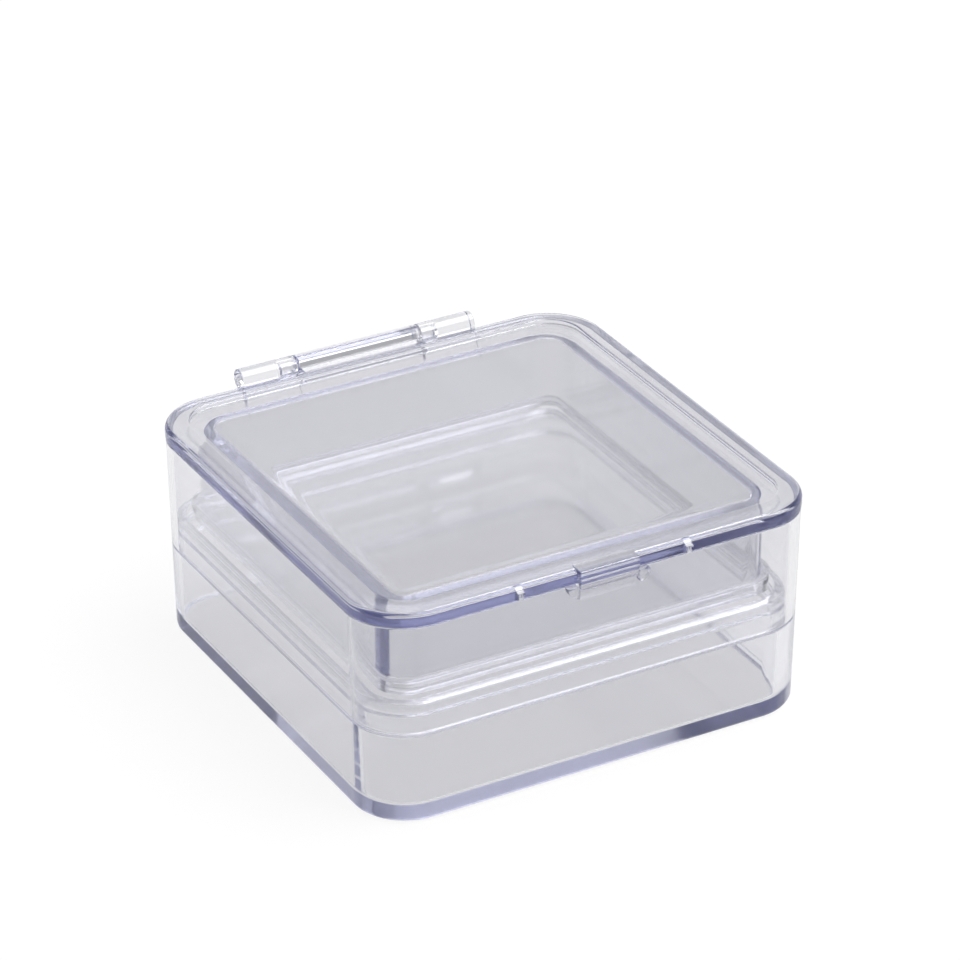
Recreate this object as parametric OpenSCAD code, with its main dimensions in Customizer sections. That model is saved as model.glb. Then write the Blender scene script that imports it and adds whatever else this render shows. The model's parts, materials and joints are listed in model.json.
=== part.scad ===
// Membrane specimen box: a clear hinged box that holds a specimen between two stretched films.
// Millimetres, +Z up, origin on the table under the middle of the base, latch towards -Y.

/* [Box] */
// Width and depth over the lid's rim
box_w = 100; // [90:1:130]
// Height from the table to the top of the lid's rim
box_h = 47.3; // [44:0.1:60]
// Radius of the rim's upright corners
corner_r = 12.5; // [11.5:0.1:16]
// Small chamfer along the lower edges of the rim and the latch tab
small_r = 0.3; // [0.1:0.05:0.4]

/* [Base] */
// Wall thickness at the top of the base
wall_t = 2; // [1.6:0.1:2.4]
// How far each outer side leans in from top to bottom
wall_draft = 0.9; // [0.2:0.1:1.2]
// How far each inner side leans in, above the ledge and below it
inner_draft = 0.4; // [0.1:0.1:0.6]
// Thickness of the floor
floor_t = 2.5; // [1.8:0.1:3.5]
// Height of the ledge that carries the lower frame
ledge_z = 18.8; // [17:0.1:22]
// Width of that ledge
ledge_w = 1.4; // [1:0.1:2]
// Rounding along the bottom edge, outside and inside
edge_r = 1.4; // [0.6:0.1:2]

/* [Lid] */
// Thickness of the rim
rim_t = 3.3; // [2.8:0.1:3.8]
// Overhang of the rim beyond the wall of the base
rim_over = 0.1; // [0.05:0.05:0.4]
// Width of the raised rim on top
rim_w = 5; // [4:0.1:6]
// Rounding along the rim's outer top edge
rim_r = 1.5; // [0.6:0.1:2.4]
// Gap between the rim and the top of the wall
seat_gap = 0.1; // [0.05:0.05:0.3]
// How far the panel lies below the rim
panel_drop = 0.9; // [0.6:0.1:1.3]
// Thickness of the panel
panel_t = 1.8; // [1.4:0.1:2.4]
// Distance from the rim's outside to the skirt
skirt_inset = 7.3; // [7:0.1:7.6]
// Thickness of the skirt
skirt_t = 2.2; // [1.6:0.1:2.4]

/* [Membrane frames] */
// Clearance between the lower frame and the wall around it
frame_gap = 0.3; // [0.2:0.1:0.5]
// Width of the lower frame and its clamp ring
ring_w = 2.3; // [1.9:0.1:2.6]
// Height of the lower frame up to its film
lower_frame_h = 4; // [3:0.1:4.5]
// Height of the lower clamp ring
lower_clamp_h = 3.15; // [2.6:0.05:3.8]
// Room for the specimen between the two films when the lid is shut
film_room = 4.4; // [4.2:0.1:8]
// Height of the upper clamp ring
upper_clamp_h = 1.6; // [1.2:0.1:2.4]
// Height of the upper frame between its film and the skirt
upper_frame_h = 0.9; // [0.6:0.05:2]
// Width of the lip round each clamp ring
lip_w = 0.8; // [0.6:0.1:1]
// Height of the lower frame's lip above its film
lip_h = 0.8; // [0.5:0.1:1.2]
// How far the upper frame's lip ends above the lower face of its clamp ring
lip_short = 0.2; // [0.1:0.05:0.4]
// Width of the collar that grips the skirt
collar_w = 0.95; // [0.8:0.05:1.2]
// Height of that collar
collar_h = 0.9; // [0.6:0.1:2]
// Gap between a ring and the lip or skirt beside it
ring_fit = 0.05; // [0.03:0.01:0.1]
// Thickness of the films
film_t = 0.15; // [0.1:0.01:0.3]

/* [Latch] */
// Width of the latch tab
tab_w = 13; // [10:0.5:18]
// How far the tab stands proud of the rim
tab_proud = 1.6; // [1.4:0.1:2]
// How far the tab hangs below the rim
tab_drop = 0.9; // [0.6:0.1:1.8]
// Chamfer along the tab's top edge
tab_r = 0.5; // [0.3:0.1:0.8]
// Number of finger grooves across the tab
grip_n = 2; // [1:1:4]
// Depth of a finger groove
grip_d = 0.3; // [0.1:0.05:0.4]
// Gap between the tab and the catch behind it
tab_gap = 0.3; // [0.2:0.05:0.4]
// Width of the catch on the wall
catch_w = 12; // [8:0.5:16]
// Height of the catch
catch_h = 3; // [2:0.1:4]
// How far the catch lies below the top of the wall
catch_drop = 0.5; // [0.3:0.1:1]
// How far the catch stands proud of the wall
catch_t = 0.35; // [0.2:0.05:0.4]
// Radius of the quarter-round ribs beside the tab
rib_r = 2.3; // [1.5:0.1:3.5]
// Distance of the two locating pips from the middle
pip_x = 18.7; // [14:0.1:26]
// Width of a pip
pip_w = 1; // [0.8:0.1:1.6]
// Height of a pip above the wall
pip_h = 1.2; // [0.8:0.1:1.4]
// Gap between a pip and its notch in the rim
pip_gap = 0.3; // [0.2:0.05:0.4]

/* [Hinge] */
// Length of the hinge from lug to lug
hinge_w = 54.4; // [48:0.2:62]
// Length of one lug
lug_w = 12.7; // [10:0.1:15]
// Radius of the barrel
barrel_r = 2.3; // [2:0.05:2.35]
// Height of the hinge axis below the top of the rim
axis_drop = 0.6; // [0.5:0.05:0.8]
// Distance of the hinge axis behind the rim
axis_back = 2.56; // [2.5:0.02:2.8]
// Radius of a pintle
pin_r = 1.2; // [0.9:0.05:1.4]
// Length of a pintle
pin_len = 4; // [3:0.5:6]
// Running clearance round a pintle
pin_fit = 0.05; // [0.02:0.01:0.1]
// Gap between the tongue and a lug
end_gap = 0.3; // [0.2:0.05:0.5]
// How far the tongue's heel reaches behind the axis: it stops the open lid
heel_back = 3.74; // [3.5:0.02:3.9]
// How far the heel reaches below the axis
heel_drop = 1.75; // [1.6:0.05:1.8]

/* [Hidden] */
$fn = 96;
eps = 0.1;
arc_steps = 6;
clear_tint = [0.86, 0.87, 0.91, 0.35];
film_tint = [0.93, 0.94, 0.96, 0.25];

// Every upright corner turns about the corners of one square, so that all walls stay parallel.
// A radius below is a distance outside that square.
core = box_w / 2 - corner_r;

// Heights
rim_z = box_h - rim_t;
wall_z = rim_z - seat_gap;
panel_z = box_h - panel_drop;
panel_low = panel_z - panel_t;
lower_film_z = ledge_z + lower_frame_h;
lower_clamp_z = lower_film_z + film_t;
upper_film_z = lower_clamp_z + film_room;
upper_clamp_z = upper_film_z - upper_clamp_h;
upper_frame_z = upper_film_z + film_t;
skirt_low = upper_frame_z + upper_frame_h;

// Radii
wall_top_r = corner_r - rim_over;
wall_low_r = wall_top_r - wall_draft;
tray_top_r = wall_top_r - wall_t;
ledge_out_r = tray_top_r - inner_draft;
ledge_in_r = ledge_out_r - ledge_w;
well_r = ledge_in_r - inner_draft;
step_r = corner_r - rim_w;
rim_round = min(rim_r, rim_t - small_r);
skirt_out_r = corner_r - skirt_inset;
skirt_in_r = max(0.3, skirt_out_r - skirt_t);
lower_r = ledge_out_r - frame_gap;
lower_in_r = lower_r - ring_w;
lower_nest_r = lower_r - lip_w;
grip_r = skirt_out_r + ring_fit;
upper_r = grip_r + collar_w;
upper_nest_r = upper_r - lip_w;

// Front and back
rim_y = box_w / 2;
wall_y = rim_y - rim_over;
tab_half = tab_w / 2;
tab_in_y = wall_y + catch_t + tab_gap;
axis_y = rim_y + axis_back;
axis_z = box_h - axis_drop;
tongue_half = hinge_w / 2 - lug_w - end_gap;

// Points along an arc from angle a0 to a1
function arc(x, y, r, a0, a1) =
    [for (i = [0:arc_steps]) let (a = a0 + (a1 - a0) * i / arc_steps) [x + r * cos(a), y + r * sin(a)]];

// Flat rounded square
module rounded_square(r) {
    square([2 * core, 2 * (core + r)], center = true);
    square([2 * (core + r), 2 * core], center = true);
    for (x = [-1, 1], y = [-1, 1])
        translate([x * core, y * core]) circle(r);
}

// Rounded square plate from height z
module plate(r, z, h) {
    translate([0, 0, z]) linear_extrude(h) rounded_square(r);
}

// Square ring from height z
module ring(r_in, r_out, z, h) {
    translate([0, 0, z]) linear_extrude(h) difference() {
        rounded_square(r_out);
        rounded_square(r_in);
    }
}

// Carries a flat section (radius, height) round the four sides and corners
module swept() {
    for (k = [0:3]) rotate(90 * k) translate([core, core, 0]) {
        rotate_extrude(angle = 90) children();
        rotate([90, 0, 0]) linear_extrude(2 * core) children();
    }
}

// Square block that closes a swept floor or panel in the middle
module middle(z, h) {
    translate([-core, -core, z]) cube([2 * core, 2 * core, h]);
}

// Carries a flat section (Y, Z) along X
module along_x(x0, x1) {
    translate([x0, 0, 0]) rotate([90, 0, 90]) linear_extrude(x1 - x0) children();
}

module base_section() {
    polygon(concat(
        [[0, 0]],
        arc(wall_low_r - edge_r, edge_r, edge_r, -90, 0),
        [[wall_top_r, wall_z], [tray_top_r, wall_z], [ledge_out_r, ledge_z], [ledge_in_r, ledge_z]],
        arc(well_r - edge_r, floor_t + edge_r, edge_r, 0, -90),
        [[0, floor_t]]));
}

// Lug on the back wall with a blind bore for one pintle
module lug() {
    root_y = wall_y - wall_t / 2;
    difference() {
        along_x(tongue_half + end_gap, hinge_w / 2) union() {
            translate([axis_y, axis_z]) circle(barrel_r);
            polygon([[root_y, axis_z - 4 * barrel_r], [axis_y + barrel_r, axis_z], [axis_y - barrel_r, axis_z],
                     [axis_y - barrel_r, wall_z], [root_y, wall_z]]);
        }
        translate([tongue_half, axis_y, axis_z]) rotate([0, 90, 0])
            cylinder(r = pin_r + pin_fit, h = end_gap + pin_len);
    }
}

// Quarter-round rib beside the latch
module latch_rib() {
    translate([tab_half + end_gap, -wall_y + wall_t / 2, wall_z]) rotate([90, 0, 0])
        linear_extrude(wall_t / 2 + tab_proud - eps) intersection() {
            circle(rib_r);
            translate([0, -rib_r]) square(rib_r);
        }
}

module base() color(clear_tint) {
    union() {
        swept() base_section();
        middle(0, floor_t);
        for (side = [0, 1]) mirror([side, 0, 0]) {
            lug();
            latch_rib();
            translate([pip_x - pip_w / 2, -wall_y + eps, wall_z - pip_h])
                cube([pip_w, wall_t - 2 * eps, 2 * pip_h]);
        }
        translate([-catch_w / 2, -wall_y - catch_t, wall_z - catch_drop - catch_h])
            cube([catch_w, catch_t + wall_t / 2, catch_h]);
    }
}

module lid_section() {
    polygon(concat(
        [[0, panel_low], [skirt_in_r, panel_low], [skirt_in_r, skirt_low], [skirt_out_r, skirt_low],
         [skirt_out_r, rim_z], [corner_r - small_r, rim_z], [corner_r, rim_z + small_r]],
        arc(corner_r - rim_round, box_h - rim_round, rim_round, 0, 90),
        [[step_r, box_h], [step_r, panel_z], [0, panel_z]]));
}

// Latch tab with finger grooves, open towards the catch behind it
module latch_tab() {
    out_y = rim_y + tab_proud;
    root_y = rim_y - wall_t;
    tab_low = rim_z - tab_drop;
    grip_z = tab_low + small_r;
    pitch = (box_h - tab_r - grip_z) / grip_n;
    along_x(-tab_half, tab_half)
        polygon(concat(
            [[-root_y, rim_z + small_r], [-tab_in_y, rim_z + small_r], [-tab_in_y, tab_low],
             [-out_y + small_r, tab_low], [-out_y, grip_z]],
            [for (i = [1:grip_n], p = [[grip_d, i - 0.5], [0, i]]) [-out_y + p[0], grip_z + p[1] * pitch]],
            [[-out_y + tab_r, box_h], [-root_y, box_h]]));
}

// Hinge tongue with its heel and a pintle at each end
module hinge_tongue() {
    root_y = rim_y - wall_t;
    along_x(-tongue_half, tongue_half) union() {
        translate([axis_y, axis_z]) circle(barrel_r);
        polygon([[root_y, rim_z + small_r], [rim_y, rim_z + small_r],
                 [axis_y - pin_r, axis_z - heel_drop], [axis_y + heel_back, axis_z - heel_drop],
                 [axis_y + heel_back, box_h], [root_y, box_h]]);
    }
    for (side = [-1, 1])
        translate([side * (tongue_half - eps), axis_y, axis_z]) rotate([0, side * 90, 0])
            cylinder(r = pin_r, h = pin_len + eps);
}

module lid() color(clear_tint) {
    notch_w = pip_w + 2 * pip_gap;
    difference() {
        union() {
            swept() lid_section();
            middle(panel_low, panel_t);
            latch_tab();
            hinge_tongue();
        }
        for (side = [-1, 1])
            translate([side * pip_x - notch_w / 2, -rim_y - eps, rim_z - eps])
                cube([notch_w, wall_t + rim_over + pip_gap, pip_h - seat_gap + pip_gap + eps]);
    }
}

module lower_frame() color(clear_tint) union() {
    ring(lower_in_r, lower_r, ledge_z, lower_frame_h);
    ring(lower_nest_r, lower_r, lower_film_z - eps, lip_h + eps);
}

module lower_membrane() color(film_tint)
    plate(lower_nest_r - ring_fit, lower_film_z, film_t);

module lower_clamp_ring() color(clear_tint) union() {
    ring(lower_in_r, lower_nest_r - ring_fit, lower_clamp_z, lower_clamp_h);
    ring(lower_in_r, lower_r, lower_film_z + lip_h + ring_fit, lower_clamp_h + film_t - lip_h - ring_fit);
}

module upper_clamp_ring() color(clear_tint)
    ring(skirt_in_r, upper_nest_r - ring_fit, upper_clamp_z, upper_clamp_h);

module upper_membrane() color(film_tint)
    plate(upper_nest_r - ring_fit, upper_film_z, film_t);

module upper_frame() color(clear_tint) union() {
    lip_low = upper_clamp_z + lip_short;
    ring(skirt_in_r, upper_r, upper_frame_z, upper_frame_h);
    ring(upper_nest_r, upper_r, lip_low, upper_frame_z - lip_low + eps);
    ring(grip_r, upper_r, skirt_low - eps, collar_h + eps);
}

base();
lid();
lower_frame();
lower_membrane();
lower_clamp_ring();
upper_clamp_ring();
upper_membrane();
upper_frame();
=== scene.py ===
"""Looks of a clear hinged specimen box: moulded tray, lid, clamp rings and two stretched films."""

import json
import logging
import math
from dataclasses import dataclass
from enum import Enum
from typing import Any, Dict, List, Optional, Sequence, Tuple

import bmesh
import bpy
from mathutils import Matrix, Vector

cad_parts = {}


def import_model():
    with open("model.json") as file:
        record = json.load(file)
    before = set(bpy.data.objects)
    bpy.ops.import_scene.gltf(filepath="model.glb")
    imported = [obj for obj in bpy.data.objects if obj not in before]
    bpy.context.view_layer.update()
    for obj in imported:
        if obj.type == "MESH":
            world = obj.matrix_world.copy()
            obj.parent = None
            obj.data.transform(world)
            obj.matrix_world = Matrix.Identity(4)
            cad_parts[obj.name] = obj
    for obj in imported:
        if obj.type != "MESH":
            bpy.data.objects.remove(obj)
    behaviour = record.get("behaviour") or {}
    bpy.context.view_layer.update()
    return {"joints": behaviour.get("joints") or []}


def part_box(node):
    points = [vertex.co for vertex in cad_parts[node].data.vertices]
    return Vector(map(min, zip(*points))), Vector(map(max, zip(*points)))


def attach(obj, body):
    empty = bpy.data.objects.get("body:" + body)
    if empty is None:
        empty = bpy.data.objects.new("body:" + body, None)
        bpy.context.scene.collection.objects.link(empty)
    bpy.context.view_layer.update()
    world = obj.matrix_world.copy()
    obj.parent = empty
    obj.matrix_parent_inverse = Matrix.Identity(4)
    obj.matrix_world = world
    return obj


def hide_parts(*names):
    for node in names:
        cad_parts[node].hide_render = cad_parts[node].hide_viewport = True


LOG = logging.getLogger("specimen_box")
# A millimetre in metres: sizes of the box are in millimetres, and Blender's are in metres.
MM = 0.001
# Points that lie closer than this, in metres, are one point.
MERGE = 2e-6
# A joined solid stays this far inside the face it meets, so that no two faces of a boolean fall together.
SHY = 0.04
# A cutter starts this far outside the solid that it cuts.
OVER = 1.0
# A floor, panel or film is swept from this far outside the corner square; one flat face closes its middle.
HEART = 0.4
# Edges that turn by more than this are shaded sharp.
SHARP = math.radians(38)

Colour = Tuple[float, float, float, float]
WHITE: Colour = (1.0, 1.0, 1.0, 1.0)


class Joinery(Enum):
    """How a second solid meets the first."""

    JOIN = "UNION"
    CUT = "DIFFERENCE"


class Body(Enum):
    """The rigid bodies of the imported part."""

    BASE = "base_body"
    LID = "lid_body"


def linear(code: str) -> Colour:
    """Turns an sRGB hex colour into linear light.

    Args:
        code: Six hex digits, with or without a leading hash.

    Returns:
        Linear red, green and blue, and an alpha of 1.
    """
    digits = code.lstrip("#")
    channels = [int(digits[i:i + 2], 16) / 255 for i in (0, 2, 4)]
    red, green, blue = (c / 12.92 if c <= 0.04045 else ((c + 0.055) / 1.055) ** 2.4 for c in channels)
    return (red, green, blue, 1.0)


def add_node(tree: bpy.types.NodeTree, kind: str, inputs: Optional[Dict[Any, Any]] = None,
             **settings: Any) -> bpy.types.Node:
    """Adds one node, sets its properties, and fills or links its sockets.

    Args:
        tree: Node tree that takes the node.
        kind: Blender's identifier of the node.
        inputs: Socket name or index to a plain value, or to the output socket that feeds it.
        **settings: Properties of the node itself.

    Returns:
        The new node.
    """
    made = tree.nodes.new(kind)
    for name, value in settings.items():
        setattr(made, name, value)
    for socket, value in (inputs or {}).items():
        if isinstance(value, bpy.types.NodeSocket):
            tree.links.new(value, made.inputs[socket])
        else:
            made.inputs[socket].default_value = value
    return made


@dataclass(frozen=True)
class ClearPlastic:
    """Clear plastic: clean where it is thin, blue-violet where the eye looks along it.

    Attributes:
        name: Name of the material.
        slot: Record slot that it dresses.
        ior: Index of refraction.
        gloss: Surface roughness.
        toner: Faint tint that each crossing of the surface adds.
        stain: What a long way through the plastic lets pass.
        depth: Strength of that stain per metre.
        wave: Width of the surface's faint flow waves in millimetres.
        swell: Height of those waves in millimetres.
    """

    name: str
    slot: str
    ior: float
    gloss: float
    toner: str
    stain: str
    depth: float
    wave: float
    swell: float

    def material(self) -> bpy.types.Material:
        """Gives the material with its volume, made on the first call.

        Returns:
            The finished material.
        """
        known = bpy.data.materials.get(self.name)
        if known:
            return known
        made = bpy.data.materials.new(self.name)
        made.use_nodes = True
        tree = made.node_tree
        tree.nodes.clear()
        place = add_node(tree, "ShaderNodeTexCoord")
        flow = add_node(tree, "ShaderNodeTexNoise",
                        {"Vector": place.outputs["Object"], "Scale": 1 / (self.wave * MM), "Detail": 1.0})
        relief = add_node(tree, "ShaderNodeBump",
                          {"Height": flow.outputs["Fac"], "Strength": 1.0, "Distance": self.swell * MM})
        skin = add_node(tree, "ShaderNodeBsdfPrincipled",
                        {"Base Color": linear(self.toner), "Roughness": self.gloss, "IOR": self.ior,
                         "Transmission Weight": 1.0, "Normal": relief.outputs["Normal"]})
        body = add_node(tree, "ShaderNodeVolumeAbsorption",
                        {"Color": linear(self.stain), "Density": self.depth})
        add_node(tree, "ShaderNodeOutputMaterial",
                 {"Surface": skin.outputs["BSDF"], "Volume": body.outputs["Volume"]})
        return made


# Injection-moulded from a polished steel tool: glass clear face on, blue-violet along an edge or a corner.
TRAY_STYRENE = ClearPlastic("clear_polystyrene_tray", "clear_base", ior=1.59, gloss=0.06, toner="F5F5F7",
                            stain="8F96CF", depth=7.5, wave=14.0, swell=0.004)
# The same moulding with more toner: the rim, the tab and the hinge read as the bluest lines of the box.
LID_STYRENE = ClearPlastic("clear_polystyrene_lid", "clear_lid", ior=1.59, gloss=0.04, toner="EFEFF1",
                           stain="9298D1", depth=16.5, wave=14.0, swell=0.004)
# Moulded in a plainer tool: nearly colourless, and a hint of texture spreads each edge into a soft line.
RING_STYRENE = ClearPlastic("clear_polystyrene_rings", "clear_frame", ior=1.56, gloss=0.06, toner="FEFEFF",
                            stain="949BC9", depth=8.0, wave=10.0, swell=0.002)
# Cast film, drawn tight: it only greys what lies behind it a little and gives a faint sheen.
CAST_URETHANE = ClearPlastic("cast_polyurethane_film", "film", ior=1.5, gloss=0.05, toner="FDFDFE",
                             stain="D8DCE8", depth=10.0, wave=25.0, swell=0.01)


@dataclass(frozen=True)
class Turn:
    """One corner of a wall's section, in millimetres.

    Attributes:
        out: Distance outside the square that all the corners turn about.
        up: Height above the table.
        soft: How far from the corner its rounding starts.
    """

    out: float
    up: float
    soft: float = 0.0


@dataclass
class Modeller:
    """Turns sections into closed meshes.

    Attributes:
        core: Half side of the square that all upright corners turn about, in metres.
        corner_steps: Facets along one upright corner.
        soft_steps: Facets along one rounded edge of a section.
        rod_steps: Facets round a rod.
        edge_steps: Facets along a rounded edge of a rod or a block.
        end_steps: Facets along a rounded end of an extruded section.
    """

    core: float
    corner_steps: int = 48
    soft_steps: int = 8
    rod_steps: int = 48
    edge_steps: int = 3
    end_steps: int = 2

    def side(self, out: float) -> float:
        """Gives the distance of an upright face from the middle.

        Args:
            out: Its distance outside the corner square in millimetres.

        Returns:
            Its distance from the middle in millimetres.
        """
        return self.core / MM + out

    def _outline(self, points: Sequence[Vector], softs: Sequence[float]) -> bmesh.types.BMesh:
        """Draws a flat face and rounds its corners.

        Args:
            points: Corners in order.
            softs: Rounding of each corner in metres.

        Returns:
            A mesh with that one face.
        """
        mesh = bmesh.new()
        corners = [mesh.verts.new(p) for p in points]
        mesh.faces.new(corners)
        for corner, soft in zip(corners, softs):
            if soft > 0:
                bmesh.ops.bevel(mesh, geom=[corner], offset=soft, offset_type="OFFSET",
                                segments=self.soft_steps, profile=0.5, affect="VERTICES", material=-1)
        return mesh

    def swept(self, turns: Sequence[Turn], hollow: bool) -> bmesh.types.BMesh:
        """Carries a section round the four sides and corners of the box.

        Args:
            turns: The section's corners in order.
            hollow: True for a ring; False for a tray or lid, whose first and last corners get flat faces.

        Returns:
            The closed mesh.
        """
        core = self.core
        points = [Vector((core + t.out * MM, -core, t.up * MM)) for t in turns]
        mesh = self._outline(points, [t.soft * MM for t in turns])
        bmesh.ops.delete(mesh, geom=mesh.faces[:], context="FACES_ONLY")
        if not hollow:
            tips = (points[0], points[-1])
            gap = [e for e in mesh.edges
                   if all(any((v.co - p).length < MERGE for p in tips) for v in e.verts)]
            bmesh.ops.delete(mesh, geom=gap, context="EDGES_FACES")
        rail = mesh.edges[:]
        for quarter in range(4):
            turn = Matrix.Rotation(quarter * math.pi / 2, 3, "Z")
            grown = bmesh.ops.extrude_edge_only(mesh, edges=rail)["geom"]
            ends = [g for g in grown if isinstance(g, bmesh.types.BMVert)]
            bmesh.ops.translate(mesh, verts=ends, vec=turn @ Vector((0, 2 * core, 0)))
            rail = [g for g in grown if isinstance(g, bmesh.types.BMEdge)]
            spun = bmesh.ops.spin(mesh, geom=ends + rail, cent=turn @ Vector((core, core, 0)),
                                  axis=(0, 0, 1), angle=math.pi / 2, steps=self.corner_steps)["geom_last"]
            rail = [g for g in spun if isinstance(g, bmesh.types.BMEdge)]
        bmesh.ops.remove_doubles(mesh, verts=mesh.verts[:], dist=MERGE)
        if not hollow:
            for tip in (turns[0], turns[-1]):
                rim = [e for e in mesh.edges if e.is_boundary and abs(e.verts[0].co.z - tip.up * MM) < MERGE]
                bmesh.ops.edgeloop_fill(mesh, edges=rim)
        bmesh.ops.recalc_face_normals(mesh, faces=mesh.faces[:])
        return mesh

    def along_x(self, corners: Sequence[Tuple[float, float, float]], start: float, stop: float,
                end_soft: float = 0.0) -> bmesh.types.BMesh:
        """Draws a section in Y and Z and extrudes it along X.

        Args:
            corners: Y, Z and rounding of each corner in millimetres.
            start: X of the first end in millimetres.
            stop: X of the other end in millimetres.
            end_soft: Rounding round both end faces in millimetres.

        Returns:
            The closed mesh.
        """
        points = [Vector((start * MM, y * MM, z * MM)) for y, z, _ in corners]
        mesh = self._outline(points, [soft * MM for _, _, soft in corners])
        grown = bmesh.ops.extrude_face_region(mesh, geom=mesh.faces[:])["geom"]
        far = [g for g in grown if isinstance(g, bmesh.types.BMVert)]
        bmesh.ops.translate(mesh, verts=far, vec=Vector(((stop - start) * MM, 0, 0)))
        bmesh.ops.recalc_face_normals(mesh, faces=mesh.faces[:])
        self._soften_ends(mesh, end_soft, self.end_steps)
        return mesh

    def rod(self, radius: float, start: float, stop: float, axis: Vector,
            soft: float = 0.0) -> bmesh.types.BMesh:
        """Makes a round bar along X.

        Args:
            radius: Radius in millimetres.
            start: X of the first end in millimetres.
            stop: X of the other end in millimetres.
            axis: A point on its axis in millimetres.
            soft: Rounding of its ends in millimetres.

        Returns:
            The closed mesh.
        """
        mesh = bmesh.new()
        middle = Vector(((start + stop) / 2, axis.y, axis.z)) * MM
        lay = Matrix.Translation(middle) @ Matrix.Rotation(math.pi / 2, 4, "Y")
        bmesh.ops.create_cone(mesh, cap_ends=True, segments=self.rod_steps, radius1=radius * MM,
                              radius2=radius * MM, depth=abs(stop - start) * MM, matrix=lay)
        self._soften_ends(mesh, soft, self.edge_steps)
        return mesh

    def _soften_ends(self, mesh: bmesh.types.BMesh, soft: float, segments: int) -> None:
        """Rounds the edges round the two end faces of a bar along X.

        Args:
            mesh: The bar.
            soft: Rounding in millimetres; 0 leaves the ends sharp.
            segments: Facets of the rounding.
        """
        if soft > 0:
            ends = [e for e in mesh.edges if abs(e.verts[0].co.x - e.verts[1].co.x) < MERGE]
            bmesh.ops.bevel(mesh, geom=ends, offset=soft * MM, offset_type="OFFSET", segments=segments,
                            profile=0.5, affect="EDGES", clamp_overlap=True, material=-1)

    def block(self, low: Sequence[float], high: Sequence[float], soft: float = 0.0) -> bmesh.types.BMesh:
        """Makes a box between two corners, in millimetres, with soft edges.

        Args:
            low: Lowest corner.
            high: Highest corner.
            soft: Rounding of its edges.

        Returns:
            The closed mesh.
        """
        mesh = bmesh.new()
        size = [(b - a) * MM for a, b in zip(low, high)]
        middle = Vector([(a + b) / 2 * MM for a, b in zip(low, high)])
        fit = Matrix.Translation(middle) @ Matrix.Diagonal((*size, 1.0))
        bmesh.ops.create_cube(mesh, size=1.0, matrix=fit)
        if soft > 0:
            bmesh.ops.bevel(mesh, geom=mesh.edges[:], offset=soft * MM, offset_type="OFFSET",
                            segments=self.edge_steps, profile=0.5, affect="EDGES", material=-1)
        return mesh

    def quarter(self, radius: float, corner: Vector, side: int, reach: float) -> bmesh.types.BMesh:
        """Makes a quarter-round bar along Y, flat above and towards the middle.

        Args:
            radius: Radius in millimetres.
            corner: Where its two flat faces and its back meet, in millimetres.
            side: 1 for a bar whose round faces +X, -1 for -X.
            reach: How far it reaches towards -Y in millimetres.

        Returns:
            The closed mesh.
        """
        mesh = bmesh.new()
        heart = mesh.verts.new(corner * MM)
        tip = mesh.verts.new((corner + Vector((side * radius, 0, 0))) * MM)
        mesh.edges.new((heart, tip))
        bmesh.ops.spin(mesh, geom=[tip], cent=heart.co, axis=(0, 1, 0), angle=side * math.pi / 2,
                       steps=self.soft_steps)
        bmesh.ops.remove_doubles(mesh, verts=mesh.verts[:], dist=MERGE)
        bmesh.ops.contextual_create(mesh, geom=mesh.verts[:])
        grown = bmesh.ops.extrude_face_region(mesh, geom=mesh.faces[:])["geom"]
        far = [g for g in grown if isinstance(g, bmesh.types.BMVert)]
        bmesh.ops.translate(mesh, verts=far, vec=Vector((0, -reach * MM, 0)))
        bmesh.ops.recalc_face_normals(mesh, faces=mesh.faces[:])
        return mesh


def as_object(name: str, mesh: bmesh.types.BMesh) -> bpy.types.Object:
    """Puts a bmesh into a new object at the origin.

    Args:
        name: Name of the object.
        mesh: The bmesh, which is freed.

    Returns:
        The new object.
    """
    data = bpy.data.meshes.new(name)
    mesh.to_mesh(data)
    mesh.free()
    made = bpy.data.objects.new(name, data)
    bpy.context.collection.objects.link(made)
    return made


def combine(target: bpy.types.Object, mesh: bmesh.types.BMesh, how: Joinery) -> None:
    """Joins a second solid to an object, or cuts it away, so that one closed skin is left.

    Args:
        target: Object that is changed.
        mesh: The second solid.
        how: Join or cut.
    """
    tool = as_object("tool", mesh)
    step = target.modifiers.new("combine", "BOOLEAN")
    step.operation = how.value
    step.solver = "EXACT"
    step.object = tool
    shaped = target.evaluated_get(bpy.context.evaluated_depsgraph_get())
    data = bpy.data.meshes.new_from_object(shaped)
    target.modifiers.remove(step)
    old = target.data
    target.data = data
    bpy.data.meshes.remove(old)
    bpy.data.objects.remove(tool)


@dataclass
class Moulding:
    """What the sub-assemblies share: their mesh maker and the way a piece is dressed.

    Attributes:
        maker: Mesh maker.
    """

    maker: Modeller

    def dress(self, made: bpy.types.Object, finish: ClearPlastic, node: str, body: Body) -> None:
        """Smooths a piece, gives it its finish and hangs it on its body.

        Args:
            made: The piece.
            finish: Its finish.
            node: CAD node that it stands for.
            body: Body that it rides on.
        """
        data = made.data
        for face in data.polygons:
            face.use_smooth = True
        data.set_sharp_from_angle(angle=SHARP)
        even = made.modifiers.new("even_normals", "WEIGHTED_NORMAL")
        even.keep_sharp = True
        data.materials.clear()
        data.materials.append(finish.material())
        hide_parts(node)
        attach(made, body.value)
        LOG.info("%s: %d faces on %s", made.name, len(data.polygons), body.value)


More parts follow.
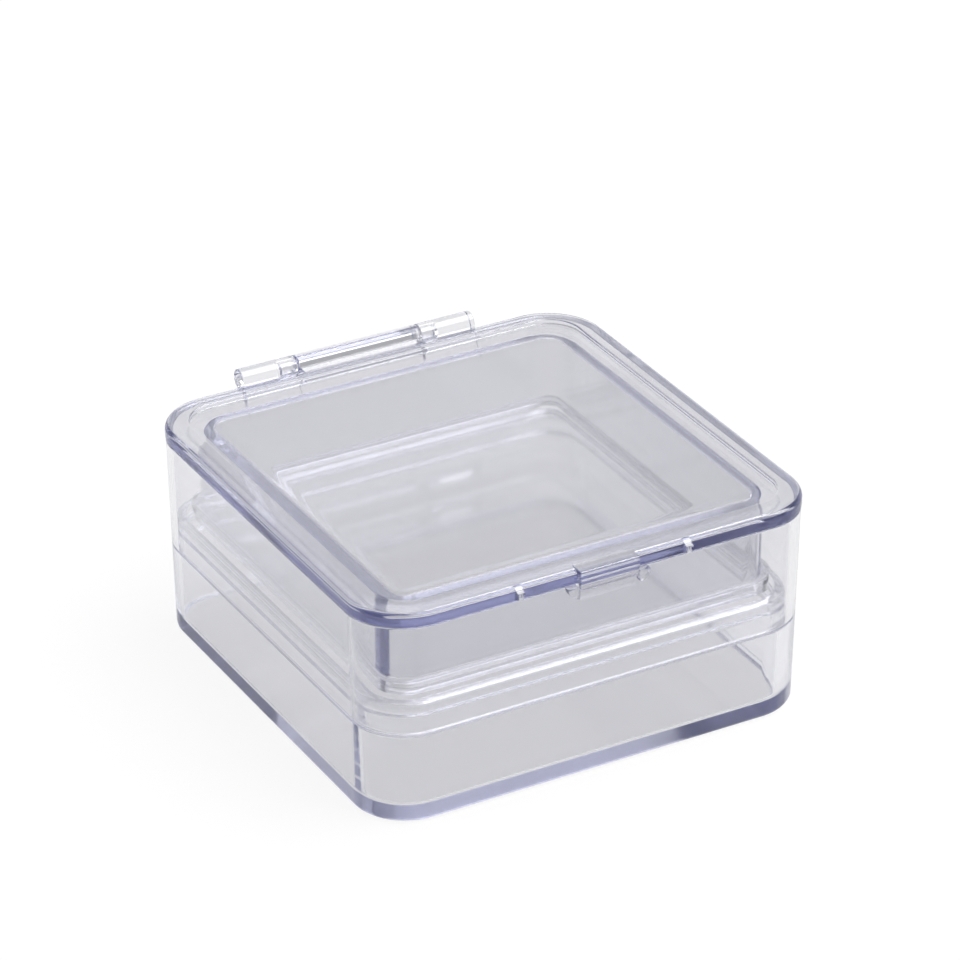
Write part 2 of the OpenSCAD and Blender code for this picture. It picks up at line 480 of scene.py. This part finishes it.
@dataclass
class Tray(Moulding):
    """The deep base with its ledge, hinge lugs, catch, ribs and pips (millimetres).

    Attributes:
        wall_out: Outside of the wall at its top, as a distance from the corner square.
        wall_lean: How far the outside leans in at the bottom.
        wall_t: Wall thickness at the top.
        inner_lean: How far each inner face leans in.
        ledge_w: Width of the ledge.
        floor_t: Thickness of the floor.
        wall_z: Height of the wall.
        edge_soft: Rounding along the bottom, outside and inside.
        brim_soft: Rounding along the top.
        ledge_root: Rounding between the ledge and the wall above it.
        ledge_soft: Rounding of the ledge's edge.
        end_soft: Rounding of the ends of small forms on the wall.
        hinge_half: Distance of a lug's outer end from the middle.
        lug_w: Length of one hinge lug.
        barrel_r: Radius of a lug.
        barrel_soft: Rounding of a lug's ends.
        web_drop: How far the web under a lug reaches down from the hinge's axis.
        web_soft: Rounding of the web's upper edge.
        bore_r: Radius of its bore.
        bore_len: Depth of its bore.
        rib_r: Radius of the quarter-round ribs beside the latch.
        rib_x: Distance of those ribs from the middle.
        rib_proud: How far those ribs stand proud of the wall.
        pip_x: Distance of the locating pips from the middle.
        pip_w: Width of a pip.
        pip_h: Height of a pip above the wall.
        pip_inset: Distance of a pip from the wall's faces.
        pip_soft: Rounding of a pip.
        catch_w: Width of the catch.
        catch_h: Height of the catch.
        catch_t: How far the catch stands proud.
        catch_drop: How far the catch lies below the top of the wall.
        catch_lead: How far the catch's lower edge runs out above and below its end.
        catch_sunk: How deep that run-out ends in the wall.
        catch_soft: Rounding where that run-out starts.
    """

    wall_out: float = 12.4
    wall_lean: float = 0.9
    wall_t: float = 2.0
    inner_lean: float = 0.4
    ledge_w: float = 1.4
    floor_t: float = 2.5
    wall_z: float = 43.9
    edge_soft: float = 1.4
    brim_soft: float = 0.3
    ledge_root: float = 0.8
    ledge_soft: float = 0.4
    end_soft: float = 0.12
    hinge_half: float = 27.2
    lug_w: float = 12.7
    barrel_r: float = 2.3
    barrel_soft: float = 0.25
    web_drop: float = 9.2
    web_soft: float = 0.2
    bore_r: float = 1.25
    bore_len: float = 4.0
    rib_r: float = 2.3
    rib_x: float = 6.8
    rib_proud: float = 1.5
    pip_x: float = 18.7
    pip_w: float = 1.0
    pip_h: float = 1.2
    pip_inset: float = 0.1
    pip_soft: float = 0.15
    catch_w: float = 12.0
    catch_h: float = 3.0
    catch_t: float = 0.35
    catch_drop: float = 0.5
    catch_lead: float = 0.6
    catch_sunk: float = 0.1
    catch_soft: float = 0.5

    def section(self, ledge_z: float) -> List[Turn]:
        """Gives the wall's section.

        Args:
            ledge_z: Height of the ledge.

        Returns:
            Its corners from the middle of the underside to the middle of the floor.
        """
        tray_top = self.wall_out - self.wall_t
        ledge_out = tray_top - self.inner_lean
        ledge_in = ledge_out - self.ledge_w
        well = ledge_in - self.inner_lean
        return [Turn(HEART, 0.0), Turn(self.wall_out - self.wall_lean, 0.0, self.edge_soft),
                Turn(self.wall_out, self.wall_z, self.brim_soft), Turn(tray_top, self.wall_z, self.brim_soft),
                Turn(ledge_out, ledge_z, self.ledge_root), Turn(ledge_in, ledge_z, self.ledge_soft),
                Turn(well, self.floor_t, self.edge_soft), Turn(HEART, self.floor_t)]

    def lug(self, axis: Vector, side: int) -> List[bmesh.types.BMesh]:
        """Makes one hinge lug: its web to the back wall and its barrel.

        Args:
            axis: A point on the hinge's axis in millimetres.
            side: 1 for +X, -1 for -X.

        Returns:
            The solids that are joined to the wall.
        """
        root = self.maker.side(self.wall_out) - self.wall_t / 2
        inner, outer = side * (self.hinge_half - self.lug_w), side * self.hinge_half
        front, back = axis.y - self.barrel_r + SHY, axis.y + self.barrel_r - SHY
        top = self.wall_z - SHY
        corners = [(root, axis.z - self.web_drop, 0.0), (back, axis.z, 0.0), (front, axis.z, 0.0),
                   (front, top, self.web_soft), (root, top, 0.0)]
        web = self.maker.along_x(corners, inner + side * SHY, outer - side * SHY, self.end_soft)
        return [web, self.maker.rod(self.barrel_r, inner, outer, axis, self.barrel_soft)]

    def latch_side(self, side: int) -> List[bmesh.types.BMesh]:
        """Makes the rib and the pip on one side of the latch.

        Args:
            side: 1 for +X, -1 for -X.

        Returns:
            The solids that are joined to the wall.
        """
        front = -self.maker.side(self.wall_out)
        root = front + self.wall_t / 2
        corner = Vector((side * self.rib_x, root, self.wall_z - SHY))
        rib = self.maker.quarter(self.rib_r, corner, side, self.wall_t / 2 + self.rib_proud)
        x, half = side * self.pip_x, self.pip_w / 2
        near, far = front + self.pip_inset, front + self.wall_t - self.pip_inset
        pip = self.maker.block((x - half, near, self.wall_z - self.pip_h),
                               (x + half, far, self.wall_z + self.pip_h), self.pip_soft)
        return [rib, pip]

    def catch(self) -> bmesh.types.BMesh:
        """Makes the catch that the latch tab snaps over, with a softer lower edge.

        Returns:
            The solid that is joined to the wall.
        """
        wall, top = -self.maker.side(self.wall_out), self.wall_z - self.catch_drop
        root, face, low = wall + self.wall_t / 2, wall - self.catch_t, top - self.catch_h
        corners = [(root, low - self.catch_lead, 0.0), (wall + self.catch_sunk, low - self.catch_lead, 0.0),
                   (face, low + self.catch_lead, self.catch_soft), (face, top, self.end_soft),
                   (root, top, 0.0)]
        return self.maker.along_x(corners, -self.catch_w / 2, self.catch_w / 2, self.end_soft)

    def build(self, axis: Vector) -> None:
        """Builds and dresses the tray as one closed skin.

        Args:
            axis: A point on the hinge's axis in millimetres.
        """
        ledge_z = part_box("lower_frame")[0][2] / MM
        made = as_object("tray", self.maker.swept(self.section(ledge_z), hollow=False))
        for side in (-1, 1):
            for solid in self.lug(axis, side) + self.latch_side(side):
                combine(made, solid, Joinery.JOIN)
            inner = self.hinge_half - self.lug_w
            bore = self.maker.rod(self.bore_r, side * (inner - OVER), side * (inner + self.bore_len), axis)
            combine(made, bore, Joinery.CUT)
        combine(made, self.catch(), Joinery.JOIN)
        self.dress(made, TRAY_STYRENE, "base", Body.BASE)


@dataclass
class Cover(Moulding):
    """The lid with its stepped rim, panel, skirt, latch tab and hinge tongue (millimetres).

    Attributes:
        rim_out: Outside of the rim, as a distance from the corner square.
        rim_w: Width of the raised rim.
        rim_low: Underside of the rim.
        rim_top: Top of the rim.
        edge_soft: Rounding of the rim's lower edge; the tab and the tongue leave the rim above it.
        rim_soft: Rounding of the rim's outer top edge.
        rim_fall: How far the rim's top falls from its crest to that edge.
        crest: Distance of the crest from the step.
        crest_soft: Rounding of the crest.
        step_soft: Rounding of the step between rim and panel.
        sink_at: Middle of the sink mark that the skirt leaves in the panel's top.
        sink_w: Half width of that mark.
        sink_d: Its depth.
        sink_side: Rounding of its two sides.
        sink_soft: Rounding of its bottom.
        root: How far a joined form reaches into the rim.
        panel_top: Top of the panel.
        panel_low: Underside of the panel.
        skirt_out: Outside of the skirt.
        skirt_in: Inside of the skirt.
        turn_out: How much wider the skirt's corners turn outside than those of the rim.
        turn_in: How much wider they turn inside.
        skirt_soft: Rounding of the skirt's lower edge.
        skirt_root: Rounding between the skirt and the rim's underside.
        panel_root: Rounding between the skirt and the panel.
        flare: How far the skirt's root reaches into the rim.
        tab_half: Half width of the latch tab.
        tab_in: Distance of the tab's inner face from the middle.
        tab_low: Lower end of the tab.
        tab_soft: Rounding of the tab's top edge.
        tab_end: Rounding of the tab's ends.
        grip_low: How far above the tab's lower end the finger grooves start.
        grip_d: Depth of the two grooves.
        grip_soft: Rounding of those grooves.
        ridge_soft: Rounding of the ridges beside them.
        tongue_half: Half length of the hinge tongue.
        barrel_r: Radius of the tongue's barrel.
        heel_back: How far the heel reaches behind the axis.
        heel_drop: How far the heel reaches below the axis.
        heel_soft: Rounding of the heel's edges.
        tongue_end: Rounding of the tongue's ends.
        pin_r: Radius of a pintle.
        pin_len: Length of a pintle.
        pin_shy: Gap between a pintle's end and the end of its bore.
        pin_soft: Rounding of the ends of the barrel and the pintles.
        notch_x: Distance of the notches over the pips from the middle.
        notch_w: Width of a notch.
        notch_d: Depth of a notch from the rim's outside.
        notch_top: Top of a notch.
        notch_soft: Rounding of a notch's edges.
    """

    rim_out: float = 12.5
    rim_w: float = 5.0
    rim_low: float = 44.0
    rim_top: float = 47.3
    edge_soft: float = 0.3
    rim_soft: float = 1.05
    rim_fall: float = 0.6
    crest: float = 1.3
    crest_soft: float = 0.9
    step_soft: float = 0.35
    sink_at: float = 3.2
    sink_w: float = 1.7
    sink_d: float = 0.2
    sink_side: float = 0.8
    sink_soft: float = 1.0
    root: float = 2.0
    panel_top: float = 46.4
    panel_low: float = 44.6
    skirt_out: float = 5.2
    skirt_in: float = 3.0
    turn_out: float = 2.6
    turn_in: float = 0.65
    skirt_soft: float = 0.25
    skirt_root: float = 0.5
    panel_root: float = 0.7
    flare: float = 1.2
    tab_half: float = 6.5
    tab_in: float = 50.55
    tab_low: float = 43.1
    tab_soft: float = 0.5
    tab_end: float = 0.12
    grip_low: float = 0.3
    grip_d: float = 0.3
    grip_soft: float = 0.4
    ridge_soft: float = 0.15
    tongue_half: float = 14.2
    barrel_r: float = 2.3
    heel_back: float = 3.74
    heel_drop: float = 1.75
    heel_soft: float = 0.3
    tongue_end: float = 0.15
    pin_r: float = 1.2
    pin_len: float = 4.0
    pin_shy: float = 0.1
    pin_soft: float = 0.2
    notch_x: float = 18.7
    notch_w: float = 1.6
    notch_d: float = 2.3
    notch_top: float = 45.4
    notch_soft: float = 0.1

    def section(self) -> List[Turn]:
        """Gives the section of the rim and the panel.

        Returns:
            Its corners from the middle of the underside to the middle of the top.
        """
        step, sink = self.rim_out - self.rim_w, self.sink_at
        return [Turn(HEART, self.rim_low), Turn(self.rim_out, self.rim_low, self.edge_soft),
                Turn(self.rim_out, self.rim_top - self.rim_fall, self.rim_soft),
                Turn(step + self.crest, self.rim_top, self.crest_soft),
                Turn(step, self.rim_top, self.step_soft), Turn(step, self.panel_top, self.step_soft),
                Turn(sink + self.sink_w, self.panel_top, self.sink_side),
                Turn(sink, self.panel_top - self.sink_d, self.sink_soft),
                Turn(sink - self.sink_w, self.panel_top, self.sink_side), Turn(HEART, self.panel_top)]

    def skirt(self, low: float) -> Tuple[bmesh.types.BMesh, bmesh.types.BMesh]:
        """Makes the skirt, whose corners turn wider than those of the rim.

        Args:
            low: Height of the skirt's lower end.

        Returns:
            The plug that is joined to the panel, and the pocket that is cut out of it.
        """
        out, inner = self.skirt_out + self.turn_out, self.skirt_in + self.turn_in
        buried = (self.rim_low + self.panel_top) / 2
        plug = Modeller(self.maker.core - self.turn_out * MM)
        pocket = Modeller(self.maker.core - self.turn_in * MM)
        solid = plug.swept([Turn(HEART, low), Turn(out, low, self.skirt_soft),
                            Turn(out, self.rim_low, self.skirt_root),
                            Turn(out + self.flare, self.rim_low + SHY), Turn(out + self.flare, buried),
                            Turn(HEART, buried)], hollow=False)
        hole = pocket.swept([Turn(HEART, low - OVER), Turn(inner, low - OVER),
                             Turn(inner, self.panel_low, self.panel_root), Turn(HEART, self.panel_low)],
                            hollow=False)
        return solid, hole

    def tab(self, front: float) -> bmesh.types.BMesh:
        """Makes the latch tab with its two finger grooves.

        Args:
            front: Distance of the tab's front from the middle.

        Returns:
            The solid that is joined to the rim.
        """
        root, top = self.maker.side(self.rim_out) - self.root, self.rim_top - SHY
        under, foot = self.rim_low + self.edge_soft, self.tab_low + self.grip_low
        pitch, dip = (self.rim_top - self.tab_soft - foot) / 2, self.grip_d - front
        corners = [(-root, under, 0.0), (-self.tab_in, under, 0.0), (-self.tab_in, self.tab_low, 0.0),
                   (-front, self.tab_low, self.ridge_soft), (dip, foot + pitch / 2, self.grip_soft),
                   (-front, foot + pitch, self.ridge_soft), (dip, foot + pitch * 1.5, self.grip_soft),
                   (-front, top, self.tab_soft), (-root, top, 0.0)]
        return self.maker.along_x(corners, -self.tab_half, self.tab_half, self.tab_end)

    def tongue(self, axis: Vector) -> List[bmesh.types.BMesh]:
        """Makes the hinge tongue with its heel, barrel and pintles.

        Args:
            axis: A point on the hinge's axis in millimetres.

        Returns:
            The solids that are joined to the rim.
        """
        rim, under, top = self.maker.side(self.rim_out), self.rim_low + self.edge_soft, self.rim_top - SHY
        low, back = axis.z - self.heel_drop, axis.y + self.heel_back
        corners = [(rim - self.root, under, 0.0), (rim, under, 0.0),
                   (axis.y - self.pin_r, low, self.heel_soft), (back, low, self.heel_soft),
                   (back, top, self.heel_soft), (rim - self.root, top, 0.0)]
        half, reach = self.tongue_half - SHY, self.tongue_half + self.pin_len - self.pin_shy
        return [self.maker.along_x(corners, -half, half, self.tongue_end),
                self.maker.rod(self.barrel_r, -self.tongue_half, self.tongue_half, axis, self.pin_soft),
                self.maker.rod(self.pin_r, -reach, reach, axis, self.pin_soft)]

    def build(self, axis: Vector) -> None:
        """Builds and dresses the lid as one closed skin.

        Args:
            axis: A point on the hinge's axis in millimetres.
        """
        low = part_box("lid")[0]
        front, rim = -low[1] / MM, self.maker.side(self.rim_out)
        made = as_object("cover", self.maker.swept(self.section(), hollow=False))
        plug, pocket = self.skirt(low[2] / MM)
        combine(made, plug, Joinery.JOIN)
        combine(made, pocket, Joinery.CUT)
        for solid in [self.tab(front), *self.tongue(axis)]:
            combine(made, solid, Joinery.JOIN)
        for side in (-1, 1):
            x, half = side * self.notch_x, self.notch_w / 2
            notch = self.maker.block((x - half, -rim - OVER, self.rim_low - OVER),
                                     (x + half, -rim + self.notch_d, self.notch_top), self.notch_soft)
            combine(made, notch, Joinery.CUT)
        self.dress(made, LID_STYRENE, "lid", Body.LID)


@dataclass
class RingStack(Moulding):
    """The two frames, the two clamp rings and the films that they pinch (millimetres).

    Attributes:
        lower_in: Inside of the lower rings, as a distance from the corner square.
        upper_in: Inside of the upper rings.
        lip_w: Width of the lip round a clamp ring.
        lip_h: Height of the lower frame's lip.
        fit: Gap beside a lip.
        air: Gap kept between faces that rest on each other.
        collar_in: Inside of the collar round the skirt.
        collar_soft: Rounding of the collar's top.
        collar_root: Rounding at the collar's root.
        crown: Rounding of the lower rings' outer edges.
        seam: The same where frame and clamp ring meet.
        crisp: Rounding of the edges that nest in each other.
        seat: Rounding of the inner edges that rest on something.
        brow: Rounding of the edges beside a film.
        lead: Rounding of the edges that stand free.
    """

    lower_in: float = 7.4
    upper_in: float = 3.0
    lip_w: float = 0.8
    lip_h: float = 0.8
    fit: float = 0.05
    air: float = 0.02
    collar_in: float = 5.25
    collar_soft: float = 0.25
    collar_root: float = 0.05
    crown: float = 0.8
    seam: float = 0.7
    crisp: float = 0.1
    seat: float = 0.2
    brow: float = 0.3
    lead: float = 0.4

    def span(self, node: str) -> Tuple[float, float, float]:
        """Measures a CAD ring.

        Args:
            node: Name of the ring.

        Returns:
            Its outside, its lower end and its upper end.
        """
        low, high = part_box(node)
        return (high[0] - self.maker.core) / MM, low[2] / MM + self.air, high[2] / MM - self.air

    def ring(self, name: str, turns: Sequence[Turn], node: str, body: Body) -> None:
        """Builds and dresses one ring.

        Args:
            name: Name of the piece.
            turns: Its section.
            node: CAD node that it stands for.
            body: Body that it rides on.
        """
        made = as_object(name, self.maker.swept(turns, hollow=True))
        self.dress(made, RING_STYRENE, node, body)

    def film(self, name: str, node: str, body: Body, rests_on: Sequence[str]) -> None:
        """Builds and dresses one film, cut to the square that its rings pinch.

        Args:
            name: Name of the piece.
            node: CAD node that it stands for.
            body: Body that it rides on.
            rests_on: Pieces that hold it; not used.
        """
        out, low, high = self.span(node)
        turns = [Turn(HEART, low), Turn(out, low), Turn(out, high), Turn(HEART, high)]
        made = as_object(name, self.maker.swept(turns, hollow=False))
        self.dress(made, CAST_URETHANE, node, body)

    def lower(self) -> None:
        """Builds the frame on the ledge, its clamp ring and its film."""
        out, low, high = self.span("lower_frame")
        nest, film = out - self.lip_w, high - self.lip_h
        carrier = [Turn(self.lower_in, low, self.seat), Turn(out, low, self.crown),
                   Turn(out, high, self.seam), Turn(nest, high, self.crisp), Turn(nest, film, self.crisp),
                   Turn(self.lower_in, film, self.brow)]
        self.ring("lower_carrier", carrier, "lower_frame", Body.BASE)
        step = high + self.fit
        out, low, high = self.span("lower_clamp_ring")
        nest -= self.fit
        clamp = [Turn(self.lower_in, low, self.seat), Turn(nest, low, self.crisp),
                 Turn(nest, step, self.crisp), Turn(out, step, self.seam), Turn(out, high, self.crown),
                 Turn(self.lower_in, high, self.lead)]
        self.ring("lower_clamp", clamp, "lower_clamp_ring", Body.BASE)
        self.film("lower_film", "lower_membrane", Body.BASE, ["lower_carrier", "lower_clamp"])

    def upper(self) -> None:
        """Builds the frame on the lid's skirt, its clamp ring and its film."""
        out, low, high = self.span("upper_clamp_ring")
        clamp = [Turn(self.upper_in, low, self.brow), Turn(out, low, self.brow), Turn(out, high, self.crisp),
                 Turn(self.upper_in, high, self.seat)]
        self.ring("upper_clamp", clamp, "upper_clamp_ring", Body.LID)
        out, low, high = self.span("upper_frame")
        nest, film = out - self.lip_w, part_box("upper_membrane")[1][2] / MM + self.air
        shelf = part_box("lid")[0][2] / MM - self.air
        carrier = [Turn(self.upper_in, film, self.seat), Turn(nest, film, self.crisp),
                   Turn(nest, low, self.crisp), Turn(out, low, self.lead), Turn(out, high, self.collar_soft),
                   Turn(self.collar_in, high, self.crisp), Turn(self.collar_in, shelf, self.collar_root),
                   Turn(self.upper_in, shelf, self.seat)]
        self.ring("upper_carrier", carrier, "upper_frame", Body.LID)
        self.film("upper_film", "upper_membrane", Body.LID, ["upper_carrier", "upper_clamp"])


@dataclass
class Studio:
    """White table, soft light and the camera (metres).

    Attributes:
        lens: Focal length in millimetres.
        sensor: Width of the sensor in millimetres.
        place: Camera position.
        forward: Viewing direction.
        roll: Roll about the viewing direction in degrees.
        paper: Share of plain white in the open table; the rest is matt and keeps the shadow.
        paper_through: The same share where the table shows through the plastic or in its gloss.
        paper_painted_shade: How white that share is there; below 1 it is painted shade, a dimmer table where
            it shows through the plastic or in its gloss, standing in for the box's shadow on it.
        matt: Colour of the matt rest.
        table_half: Half of the table's width.
        table_gap: How far the table lies under the box.
        room: Light of the room by height, as sine of elevation and grey level.
        softbox: Direction of the softbox.
        box_edge: Cosines of the angles from its middle where it starts and where it is full.
        box_light: Its light.
        backdrop: Direction of the white backdrop behind the box.
        back_edge: Cosines of the angles from its middle where it starts and where it is full.
        back_height: Sines of the elevations where it starts to fade and where it has faded.
        back_light: Its light above the room's.
        bounces: Walls that light may meet before a path ends.
        matt_bounces: Matt surfaces that it may meet.
    """

    lens: float = 177.499
    sensor: float = 36.0
    place: Tuple[float, float, float] = (-0.40399, -0.72448, 0.49596)
    forward: Tuple[float, float, float] = (0.42716, 0.76571, -0.48085)
    roll: float = -0.152
    paper: float = 0.9
    paper_through: float = 0.8
    # Below 1 this is painted shade: the table seen through the plastic is dimmer, standing in for the box's
    # shadow.
    paper_painted_shade: float = 0.88
    matt: str = "F8F8F8"
    table_half: float = 3.0
    table_gap: float = 0.0001
    room: Tuple[Tuple[float, float], ...] = ((0.0, 0.95), (0.15, 0.8), (0.35, 0.48), (0.6, 0.45), (1.0, 0.6))
    softbox: Tuple[float, float, float] = (0.45, -0.22, 0.87)
    box_edge: Tuple[float, float] = (0.84, 0.94)
    box_light: float = 4.4
    backdrop: Tuple[float, float, float] = (0.49, 0.87, 0.0)
    back_edge: Tuple[float, float] = (0.5, 0.9)
    back_height: Tuple[float, float] = (0.35, 0.7)
    back_light: float = 0.55
    bounces: int = 96
    matt_bounces: int = 3

    def camera(self) -> None:
        """Sets up the camera at the photograph's viewpoint."""
        data = bpy.data.cameras.new("camera")
        data.lens = self.lens
        data.sensor_width = self.sensor
        made = bpy.data.objects.new("camera", data)
        look = Vector(self.forward).to_track_quat("-Z", "Y").to_matrix().to_4x4()
        roll = Matrix.Rotation(math.radians(self.roll), 4, "Z")
        made.matrix_world = Matrix.Translation(self.place) @ look @ roll
        bpy.context.collection.objects.link(made)
        bpy.context.scene.camera = made

    @staticmethod
    def lobe(tree: bpy.types.NodeTree, way: bpy.types.NodeSocket, middle: Sequence[float],
             edge: Sequence[float], peak: Any) -> bpy.types.NodeSocket:
        """Adds a patch of light that fades towards its edge.

        Args:
            tree: The world's node tree.
            way: Direction that is looked at.
            middle: Direction of the patch's middle.
            edge: Cosines of the angles from there where the patch starts and where it is full.
            peak: Its full light, a number or the socket that gives it.

        Returns:
            The socket with the patch's light.
        """
        near = add_node(tree, "ShaderNodeVectorMath", {0: way, 1: Vector(middle).normalized()},
                        operation="DOT_PRODUCT")
        fade = add_node(tree, "ShaderNodeMapRange",
                        {"Value": near.outputs["Value"], "From Min": edge[0], "From Max": edge[1],
                         "To Max": peak}, interpolation_type="SMOOTHSTEP")
        return fade.outputs["Result"]

    def light(self) -> None:
        """Lights the scene from a dim room with a softbox and a pale backdrop, white to the camera."""
        world = bpy.data.worlds.new("studio")
        bpy.context.scene.world = world
        world.use_nodes = True
        tree = world.node_tree
        tree.nodes.clear()
        way = add_node(tree, "ShaderNodeTexCoord").outputs["Generated"]
        split = add_node(tree, "ShaderNodeSeparateXYZ", {0: way})
        ramp = add_node(tree, "ShaderNodeValToRGB", {"Fac": split.outputs["Z"]})
        ends = ramp.color_ramp.elements
        while len(ends) < len(self.room):
            ends.new(0.5)
        for stop, (at, grey) in zip(ends, self.room):
            stop.position = at
            stop.color = (grey, grey, grey, 1.0)
        spread = self.lobe(tree, way, self.softbox, self.box_edge, self.box_light)
        low = add_node(tree, "ShaderNodeMapRange",
                       {"Value": split.outputs["Z"], "From Min": self.back_height[0],
                        "From Max": self.back_height[1], "To Min": self.back_light, "To Max": 0.0},
                       interpolation_type="SMOOTHSTEP")
        sweep = self.lobe(tree, way, self.backdrop, self.back_edge, low.outputs["Result"])
        lamps = add_node(tree, "ShaderNodeMath", {0: spread, 1: sweep})
        total = add_node(tree, "ShaderNodeMixRGB", {0: 1.0, 1: ramp.outputs["Color"], 2: lamps.outputs[0]},
                         blend_type="ADD")
        path = add_node(tree, "ShaderNodeLightPath")
        room = add_node(tree, "ShaderNodeBackground", {"Color": total.outputs["Color"], "Strength": 1.0})
        paper = add_node(tree, "ShaderNodeBackground", {"Color": WHITE, "Strength": 1.0})
        shown = add_node(tree, "ShaderNodeMixShader",
                         {0: path.outputs["Is Camera Ray"], 1: room.outputs[0], 2: paper.outputs[0]})
        add_node(tree, "ShaderNodeOutputWorld", {"Surface": shown.outputs[0]})

    def table(self) -> None:
        """Lays the white table under the box, with painted shade where it shows through the plastic."""
        mesh = bmesh.new()
        bmesh.ops.create_grid(mesh, x_segments=1, y_segments=1, size=self.table_half,
                              matrix=Matrix.Translation((0, 0, -self.table_gap)))
        made = as_object("table", mesh)
        material = bpy.data.materials.new("white_table")
        material.use_nodes = True
        tree = material.node_tree
        tree.nodes.clear()
        path = add_node(tree, "ShaderNodeLightPath")
        bent = add_node(tree, "ShaderNodeMath",
                        {0: path.outputs["Is Glossy Ray"], 1: path.outputs["Is Transmission Ray"]},
                        operation="MAXIMUM")
        inside = add_node(tree, "ShaderNodeMath", {0: bent.outputs[0], 1: self.paper_through},
                          operation="MULTIPLY")
        direct = add_node(tree, "ShaderNodeMath", {0: path.outputs["Is Camera Ray"], 1: self.paper},
                          operation="MULTIPLY")
        share = add_node(tree, "ShaderNodeMath", {0: direct.outputs[0], 1: inside.outputs[0]},
                         operation="MAXIMUM")
        # Painted shade: where the table shows through the plastic or in its gloss, its white shines at a
        # lower strength than to the camera, standing in for the box's shadow on it.
        white = add_node(tree, "ShaderNodeMapRange",
                         {"Value": bent.outputs[0], "To Min": 1.0, "To Max": self.paper_painted_shade})
        paper = add_node(tree, "ShaderNodeEmission", {"Color": WHITE, "Strength": white.outputs["Result"]})
        matt = add_node(tree, "ShaderNodeBsdfDiffuse", {"Color": linear(self.matt)})
        shown = add_node(tree, "ShaderNodeMixShader",
                         {0: share.outputs[0], 1: matt.outputs[0], 2: paper.outputs[0]})
        add_node(tree, "ShaderNodeOutputMaterial", {"Surface": shown.outputs[0]})
        made.data.materials.append(material)

    def render_paths(self) -> None:
        """Lets light pass through every wall of the box before a path ends."""
        scene = bpy.context.scene
        scene.view_settings.view_transform = "Standard"
        scene.cycles.max_bounces = self.bounces
        scene.cycles.transmission_bounces = self.bounces
        scene.cycles.glossy_bounces = self.bounces
        scene.cycles.diffuse_bounces = self.matt_bounces


def main() -> None:
    """Builds the box and its studio."""
    logging.basicConfig(level=logging.INFO, format="%(message)s")
    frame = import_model()
    studio = Studio()
    studio.camera()
    studio.light()
    studio.table()
    studio.render_paths()
    maker = Modeller(core=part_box("lid")[1][0] - Cover.rim_out * MM)
    joint = next(j for j in frame["joints"] if j["name"] == "lid_hinge")
    axis = Vector(joint["pos_m"]) / MM
    Tray(maker).build(axis)
    Cover(maker).build(axis)
    rings = RingStack(maker)
    rings.lower()
    rings.upper()


if __name__ == "__main__":
    main()
